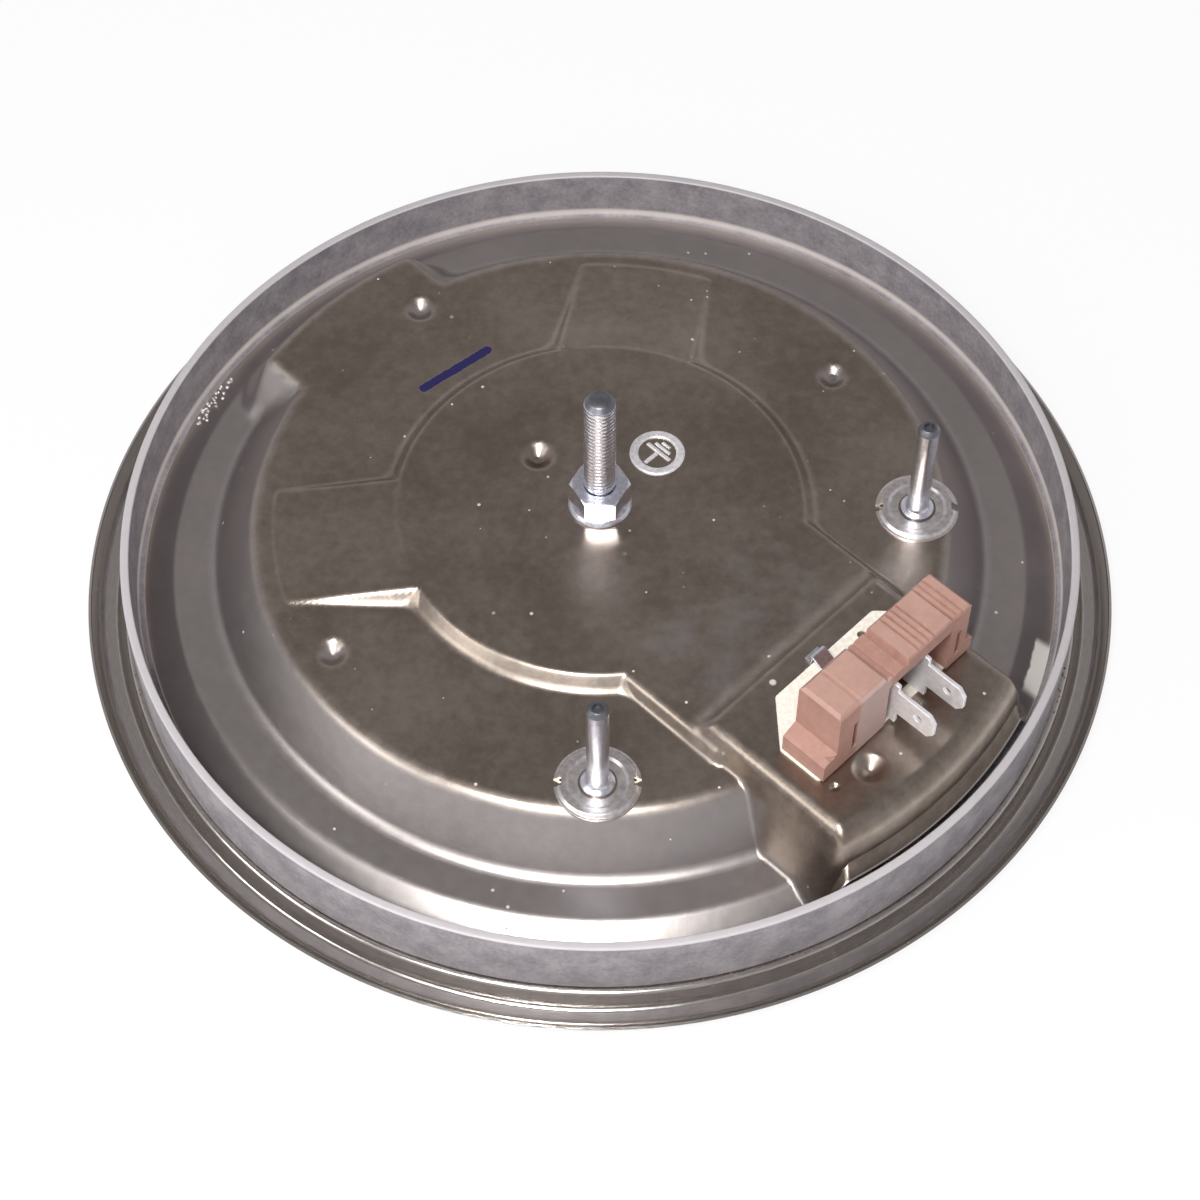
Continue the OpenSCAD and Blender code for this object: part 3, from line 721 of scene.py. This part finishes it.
def ring_piece(name, a, node):
    a = math.radians(a)
    cx, cy = PIN_R * math.cos(a), PIN_R * math.sin(a)
    p = rounded([(3.5, 23), (5.2, 23), (5.7, 23.5), (6.6, 23.5), (7.1, 23), (7.75, 23), (7.75, 23.4, 0.12),
                 (7.3, 23.45, 0.2), (6.8, 24, 0.3), (5.5, 24, 0.35), (5, 23.5, 0.2), (3.5, 23.5)], 4)
    o = make(name, *lathe(p, 96, (cx, cy)))
    notches = [make("notch", *prism([(x - 0.8, -0.8), (x + 0.8, -0.8), (x + 0.8, 0.8), (x - 0.8, 0.8)], 22, 26,
                                    lambda q, w, z: (cx + q, cy + w, z))) for x in (-7.2, 7.2)]
    cut(o, notches)
    return done(smooth(o, 36), RING, "zinc_steel", node)


BLOCK_LINE = [(-17.4, 28.7), (21.8, 28.7), (21.8, 32.1), (19.8, 33.1), (19.8, 44.0), (19.2, 44.6), (17.9, 44.6),
              (17.7, 44.2), (17.35, 44.2), (17.15, 44.6), (16.55, 44.6), (16.35, 44.2), (16.0, 44.2), (15.8, 44.6),
              (15.2, 44.6), (14.9, 44.0), (14.4, 44.8), (10.5, 44.8), (10.3, 44.3), (9.95, 44.3), (9.75, 44.8),
              (9.15, 44.8), (8.95, 44.3), (8.6, 44.3), (8.4, 44.8), (7.8, 44.8), (7.6, 44.3), (7.25, 44.3),
              (7.05, 44.8), (6.45, 44.8), (6.25, 44.3), (5.9, 44.3), (5.7, 44.8), (3.3, 44.8), (2.95, 43.2),
              (2.4, 43.2), (2.1, 43.8), (-0.2, 43.8), (-0.45, 43.4), (-0.8, 43.4), (-1.0, 43.8), (-1.6, 43.8),
              (-1.85, 43.4), (-2.2, 43.4), (-2.45, 44.0), (-2.8, 45.0), (-3.3, 45.2), (-8.65, 45.2),
              (-8.85, 44.85), (-9.45, 44.85), (-9.65, 45.2), (-13.6, 45.2), (-14.3, 44.5), (-14.3, 34.3),
              (-17.4, 32.9)]


def block_piece():
    o = make("ceramic_block", *prism(BLOCK_LINE, 61.5, 71.1, lambda u, z, v: at_axis(v, u, z)))
    cutters = [block_box(66.9, 78, -1.4, 15.2, 27, 40.7), block_box(63.9, 69.9, -1.4, 10.9, 27, 33.7),
               block_box(69.5, 73, -10.3, -9.0, 31.1, 39.1), block_box(69.5, 73, 17, 18.2, 31.1, 38.1)]
    cut(o, [make("cutter", *c) for c in cutters])
    corner = [(71.1 - 1.35, -16), (73, -16), (73, -14.3 + 1.35)]
    cut(o, [make("corner", *prism(corner, 33.4, 50, at_axis))])
    for v, s in ((71.1, -1), (61.5, 1)):
        edge = [(v, 45.3), (v + s * 0.8, 45.3), (v + s * 0.02, 44.2), (v - s * 0.6, 44.2), (v - s * 0.6, 45.3)]
        cut(o, [make("edge", *prism(edge, -30, 30, lambda q, z, u: at_axis(q, u, z)))])
    return done(soften(o, 0.13, 2, 30), BLOCK, "brown_ceramic", "terminal_block")


def tab_piece(name, u, node):
    line_ = [(67.2, 29.1), (72.0, 29.1), (72.0, 32.25), (79.0, 32.25), (80.3, 33.85), (80.3, 36.95), (79.0, 38.55),
             (72.0, 38.55), (72.0, 40.15), (71.1, 40.3), (67.2, 40.3)]
    o = make(name, *prism(line_, u - 0.4, u + 0.4, lambda v, z, w: at_axis(v, w, z)))
    hole = [(76.7 + 0.9 * math.cos(a), 35.4 + 0.9 * math.sin(a)) for a in np.linspace(0, 2 * math.pi, 25)[:-1]]
    cut(o, [make("hole", *prism(hole, u - 2, u + 2, lambda v, z, w: at_axis(v, w, z)))])
    return done(soften(o, 0.1, 2, 30), TAB, "tab_steel", node)


def sheet_piece():
    p = [(53.4, -10.2), (53.4, 15.5), (61.5, 23), (70.6, 23), (70.6, -17.8), (61.5, -17.8)]
    p = rounded([(*q, 0.8) for q in p], 4, loop=True)
    o = make("insulating_sheet", *prism(p, 28.2, 28.7, at_axis))
    hole = [(55.6 + 0.9 * math.cos(a), 10.4 + 0.9 * math.sin(a)) for a in np.linspace(0, 2 * math.pi, 25)[:-1]]
    cut(o, [make("hole", *prism(hole, 26, 30, at_axis)), make("slot", *block_box(63.9, 68.3, -1.5, 11, 27, 30))])
    return done(soften(o, 0.1, 2, 40), SHEET, "insulating_sheet", "block_gasket")


def clip_piece():
    p = [(51.6, 28.2), (53.2, 28.2), (53.2, 29.8), (55.4, 28.7), (57.2, 28.7), (57.2, 29.1), (55.6, 29.1),
         (53.3, 30.4), (52.7, 30.2), (52.7, 28.7), (51.6, 28.7)]
    o = make("sheet_clip", *prism(p, -0.5, 2.9, lambda v, z, u: at_axis(v, u, z)))
    return done(soften(o, 0.12, 2, 25), ZINC, "zinc_steel", "retaining_clip")


def sign_piece():
    """raised protective earth sign on the disc"""
    cx, cy, z = 10.8, 11.7, DISC
    verts, faces = lathe(rounded([(3.6, z - 0.05), (5.25, z - 0.05), (5.25, z + 0.2, 0.15), (4.9, z + 0.38, 0.2),
                                  (3.95, z + 0.38, 0.2), (3.6, z + 0.2, 0.15)], 3, loop=False), 72, (cx, cy))
    verts, faces = list(verts), list(faces)

    def bar(a0, a1, b0, b1):
        def place(a, b, h):
            return (cx + a * 0.7071 - b * 0.7071, cy + a * 0.7071 + b * 0.7071, h)
        n = len(verts)
        low = [(a0, b0), (a1, b0), (a1, b1), (a0, b1)]
        g = 0.14
        high = [(a0 + g, b0 + g), (a1 - g, b0 + g), (a1 - g, b1 - g), (a0 + g, b1 - g)]
        verts.extend([place(*q, z - 0.05) for q in low] + [place(*q, z + 0.2) for q in low]
                     + [place(*q, z + 0.36) for q in high])
        faces.append((n + 3, n + 2, n + 1, n))
        faces.append((n + 8, n + 9, n + 10, n + 11))
        for k in (0, 4):
            for i in range(4):
                j = (i + 1) % 4
                faces.append((n + k + i, n + k + j, n + k + 4 + j, n + k + 4 + i))

    bar(-3.2, 0.0, -0.4, 0.4)
    bar(0.0, 0.75, -2.9, 2.9)
    bar(1.15, 1.8, -1.9, 1.9)
    bar(2.15, 2.75, -1.0, 1.0)
    return done(smooth(make("earth_sign", verts, faces), 30), SIGN, "zinc_steel")


# grains strewn round part of a circle
def scatter_tree():
    t = bpy.data.node_groups.new("strewn grains", "GeometryNodeTree")
    face = t.interface
    face.new_socket(name="Geometry", in_out="OUTPUT", socket_type="NodeSocketGeometry")
    kinds = {"Count": "Int", "Seed": "Int", "Start": "Float", "Sweep": "Float", "Radius": "Float",
             "Spread": "Float", "Height": "Float", "Slope": "Float", "Grain": "Float", "Surface": "Material"}
    ids = {n: face.new_socket(name=n, in_out="INPUT", socket_type="NodeSocket" + k).identifier
           for n, k in kinds.items()}
    gin, gout = t.nodes.new("NodeGroupInput"), t.nodes.new("NodeGroupOutput")

    def node(kind, settings=None, **links):
        n = t.nodes.new(kind)
        for k, val in (settings or {}).items():
            setattr(n, k, val)
        for k, val in links.items():
            s = n.inputs[int(k[1:])] if k[0] == "i" and k[1:].isdigit() else n.inputs[k.replace("_", " ")]
            if isinstance(val, bpy.types.NodeSocket):
                t.links.new(val, s)
            else:
                s.default_value = val
        return n

    def rand(lo, hi, shift, vector=False):
        seed = node("ShaderNodeMath", {"operation": "ADD"}, i0=gin.outputs["Seed"], i1=float(shift))
        n = node("FunctionNodeRandomValue", {"data_type": "FLOAT_VECTOR" if vector else "FLOAT"})
        a, b, o = (0, 1, 0) if vector else (2, 3, 1)
        n.inputs[a].default_value = lo
        n.inputs[b].default_value = hi
        t.links.new(seed.outputs[0], n.inputs["Seed"])
        return n.outputs[o]

    def math_(op, a, b=0.0):
        return node("ShaderNodeMath", {"operation": op}, i0=a, i1=b).outputs[0]

    turn = math_("ADD", gin.outputs["Start"], math_("MULTIPLY", gin.outputs["Sweep"], rand(0.0, 1.0, 1)))
    off = math_("MULTIPLY", gin.outputs["Spread"], rand(-0.5, 0.5, 2))
    r = math_("ADD", gin.outputs["Radius"], off)
    z = math_("ADD", gin.outputs["Height"], math_("MULTIPLY", gin.outputs["Slope"], off))
    pos = node("ShaderNodeCombineXYZ", i0=math_("MULTIPLY", r, math_("COSINE", turn)),
               i1=math_("MULTIPLY", r, math_("SINE", turn)), i2=z)
    points = node("GeometryNodePoints", Count=gin.outputs["Count"], Position=pos.outputs[0])
    ball = node("GeometryNodeMeshIcoSphere", Radius=1.0, Subdivisions=1)
    size = node("ShaderNodeVectorMath", {"operation": "SCALE"}, i0=rand((0.45,) * 3, (1.0,) * 3, 3, True))
    t.links.new(gin.outputs["Grain"], size.inputs["Scale"])
    inst = node("GeometryNodeInstanceOnPoints", Points=points.outputs[0], Instance=ball.outputs[0],
                Scale=size.outputs[0])
    t.links.new(rand((0.0,) * 3, (6.28,) * 3, 4, True), inst.inputs["Rotation"])
    real = node("GeometryNodeRealizeInstances", Geometry=inst.outputs[0])
    mat = node("GeometryNodeSetMaterial", Geometry=real.outputs[0], Material=gin.outputs["Surface"])
    t.links.new(mat.outputs[0], gout.inputs[0])
    return t, ids


def grains(name, mat, slot, **values):
    me = bpy.data.meshes.new(name)
    o = bpy.data.objects.new(name, me)
    bpy.context.scene.collection.objects.link(o)
    m = o.modifiers.new("grains", "NODES")
    m.node_group = TREE
    for k, val in values.items():
        m[IDS[k]] = val
    m[IDS["Surface"]] = mat
    bake(o)
    return done(smooth(o, 60), mat, slot)


TREE, IDS = scatter_tree()
cover_piece()
casting_piece()
rim_piece()
stud_piece()
nut_piece()
washer_piece()
pin_piece("locating_pin_near", -90.4, "pin_near")
pin_piece("locating_pin_right", 0.5, "pin_right")
ring_piece("pressed_ring_near", -90.4, "pin_ring_near")
ring_piece("pressed_ring_right", 0.5, "pin_ring_right")
block_piece()
tab_piece("blade_tab_near", 0.5, "tab_near")
tab_piece("blade_tab_far", 8.4, "tab_far")
sheet_piece()
clip_piece()
sign_piece()
grains("rust_grains", RUST, "cast_iron", Count=150, Seed=4, Start=math.radians(-165), Sweep=math.radians(150),
       Radius=90.35 * MM, Spread=0.6 * MM, Height=5.2 * MM, Slope=0.0, Grain=0.22 * MM)
grains("bright_nibs", NIB, "cast_iron", Count=34, Seed=9, Start=math.radians(150), Sweep=math.radians(9),
       Radius=84.9 * MM, Spread=3.4 * MM, Height=10.05 * MM, Slope=-0.571, Grain=0.5 * MM)

INNER = {"coil_inner": COIL, "coil_outer": COIL, "embedding_mass": MASS, "protector_strip": BIMETAL,
         "protector_base": WHITE, "bush_inner": WHITE, "bush_common": WHITE, "bush_outer": WHITE,
         "coil_pin_inner": LEAD, "coil_pin_common": LEAD, "coil_pin_outer": LEAD, "lead_common": LEAD,
         "lead_outer": LEAD, "lead_inner": LEAD, "lead_protector": LEAD}
for name, mat in INNER.items():
    node = frame["nodes"][name]
    node.data.materials.clear()
    node.data.materials.append(mat)


# floor, camera and light
def floor():
    me = bpy.data.meshes.new("floor")
    s = 4.0
    me.from_pydata([(-s, -s, 0), (s, -s, 0), (s, s, 0), (-s, s, 0)], [], [(0, 1, 2, 3)])
    o = bpy.data.objects.new("floor", me)
    bpy.context.scene.collection.objects.link(o)
    m = bpy.data.materials.new("floor")
    m.use_nodes = True
    t = m.node_tree
    bsdf = t.nodes["Principled BSDF"]
    bsdf.inputs["Base Color"].default_value = (0.86, 0.86, 0.86, 1)
    bsdf.inputs["Roughness"].default_value = 0.9
    glow = t.nodes.new("ShaderNodeEmission")
    glow.inputs["Strength"].default_value = 1.0
    path = t.nodes.new("ShaderNodeLightPath")
    share = t.nodes.new("ShaderNodeMath")
    share.operation = "MULTIPLY"
    share.inputs[1].default_value = 0.9
    blend = t.nodes.new("ShaderNodeMixShader")
    t.links.new(path.outputs["Is Camera Ray"], share.inputs[0])
    t.links.new(share.outputs[0], blend.inputs[0])
    t.links.new(bsdf.outputs[0], blend.inputs[1])
    t.links.new(glow.outputs[0], blend.inputs[2])
    t.links.new(blend.outputs[0], t.nodes["Material Output"].inputs[0])
    me.materials.append(m)


def world():
    w = bpy.data.worlds.new("studio")
    bpy.context.scene.world = w
    w.use_nodes = True
    t = w.node_tree
    t.nodes.clear()
    out = t.nodes.new("ShaderNodeOutputWorld")
    co = t.nodes.new("ShaderNodeTexCoord")
    split = t.nodes.new("ShaderNodeSeparateXYZ")
    t.links.new(co.outputs["Generated"], split.inputs[0])
    ramp = t.nodes.new("ShaderNodeValToRGB")
    el = ramp.color_ramp.elements
    el[0].position, el[0].color = 0.0, (1.0, 0.98, 1.0, 1)
    el[1].position, el[1].color = 1.0, (0.42, 0.4, 0.42, 1)
    mid = el.new(0.45)
    mid.color = (0.86, 0.84, 0.9, 1)
    far = el.new(0.75)
    far.color = (0.56, 0.53, 0.53, 1)
    t.links.new(split.outputs["Z"], ramp.inputs[0])
    soft = t.nodes.new("ShaderNodeBackground")
    soft.inputs["Strength"].default_value = 0.56
    t.links.new(ramp.outputs[0], soft.inputs[0])
    white = t.nodes.new("ShaderNodeBackground")
    path = t.nodes.new("ShaderNodeLightPath")
    mix = t.nodes.new("ShaderNodeMixShader")
    white.inputs[0].default_value = (1, 1, 1, 1)
    t.links.new(path.outputs["Is Camera Ray"], mix.inputs[0])
    t.links.new(soft.outputs[0], mix.inputs[1])
    t.links.new(white.outputs[0], mix.inputs[2])
    t.links.new(mix.outputs[0], out.inputs[0])


def lamp(name, place, aim, size, radiance, tint=(1, 1, 1)):
    data = bpy.data.lights.new(name, "AREA")
    data.shape = "RECTANGLE"
    data.size, data.size_y = size
    data.energy = radiance * math.pi * size[0] * size[1]
    data.color = tint
    o = bpy.data.objects.new(name, data)
    o.location = place
    o.rotation_euler = (Vector(aim) - Vector(place)).to_track_quat("-Z", "Y").to_euler()
    bpy.context.scene.collection.objects.link(o)


def camera():
    data = bpy.data.cameras.new("camera")
    data.lens = 84.0
    data.sensor_width = 36.0
    data.clip_start = 0.01
    o = bpy.data.objects.new("camera", data)
    o.location = (0, -0.311303, 0.444737)
    o.rotation_euler = (math.radians(90 - 55.380), 0, 0)
    bpy.context.scene.collection.objects.link(o)
    bpy.context.scene.camera = o


floor()
world()
lamp("flash", (-0.075, -0.30, 0.50), (0, 0, 0.02), (0.11, 0.11), 62)
lamp("front softbox", (-0.12, -0.46, 0.50), (0, 0, 0.02), (0.44, 0.34), 2.2)
lamp("left softbox", (-0.55, -0.28, 0.40), (0, 0, 0.02), (0.30, 0.30), 3.4, (1.0, 0.99, 0.97))
camera()
bpy.context.scene.view_settings.view_transform = "Standard"
